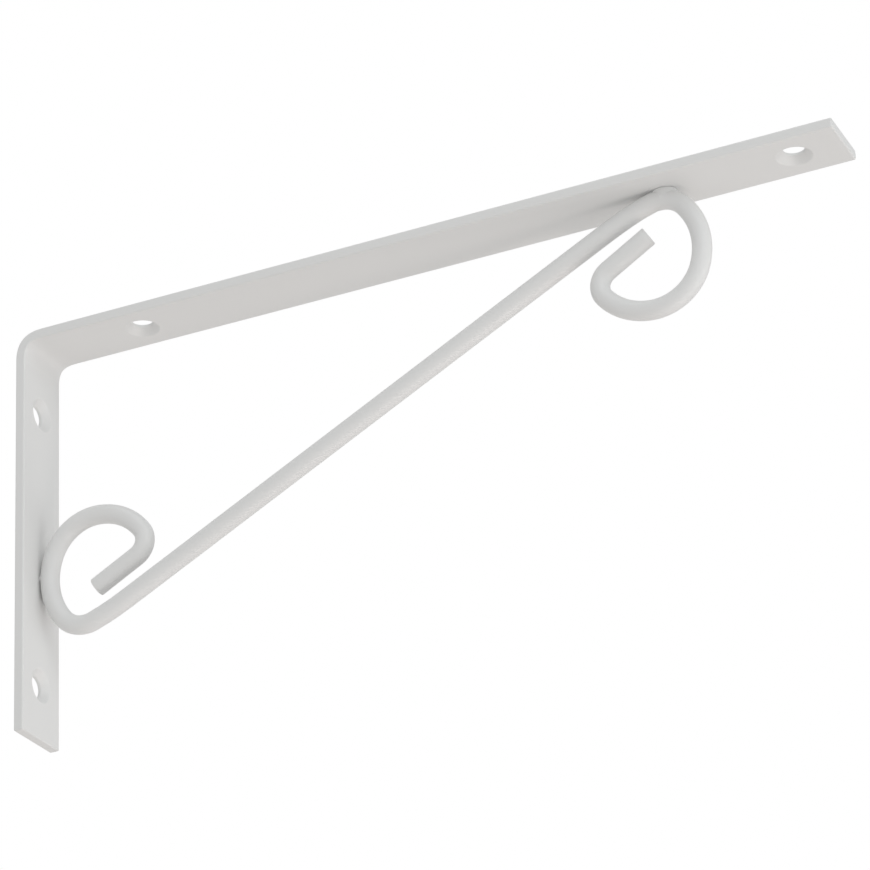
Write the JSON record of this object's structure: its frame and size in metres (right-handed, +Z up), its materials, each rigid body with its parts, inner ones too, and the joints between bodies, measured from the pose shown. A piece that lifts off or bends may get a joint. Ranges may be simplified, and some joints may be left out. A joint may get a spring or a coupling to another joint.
{
  "type": "scroll-braced shelf bracket",
  "caption": "Steel shelf bracket: a flat bar bent to a right angle, with countersunk screw holes, braced by a round rod whose curled ends meet both arms",
  "frame": {"origin": "on the wall arm's back face, the one that lies on the wall, on the centre line and half way between the arm's two screw holes", "axes": "+X out of the wall along the shelf arm, +Y across the bar's width, +Z up"},
  "size_m": [0.25, 0.02, 0.1232],
  "materials": {
    "white_powder_coat": "satin"
  },
  "bodies": {
    "root": {"angle_bar": "white_powder_coat", "scroll_rod": "white_powder_coat"}
  },
  "joints": []
}
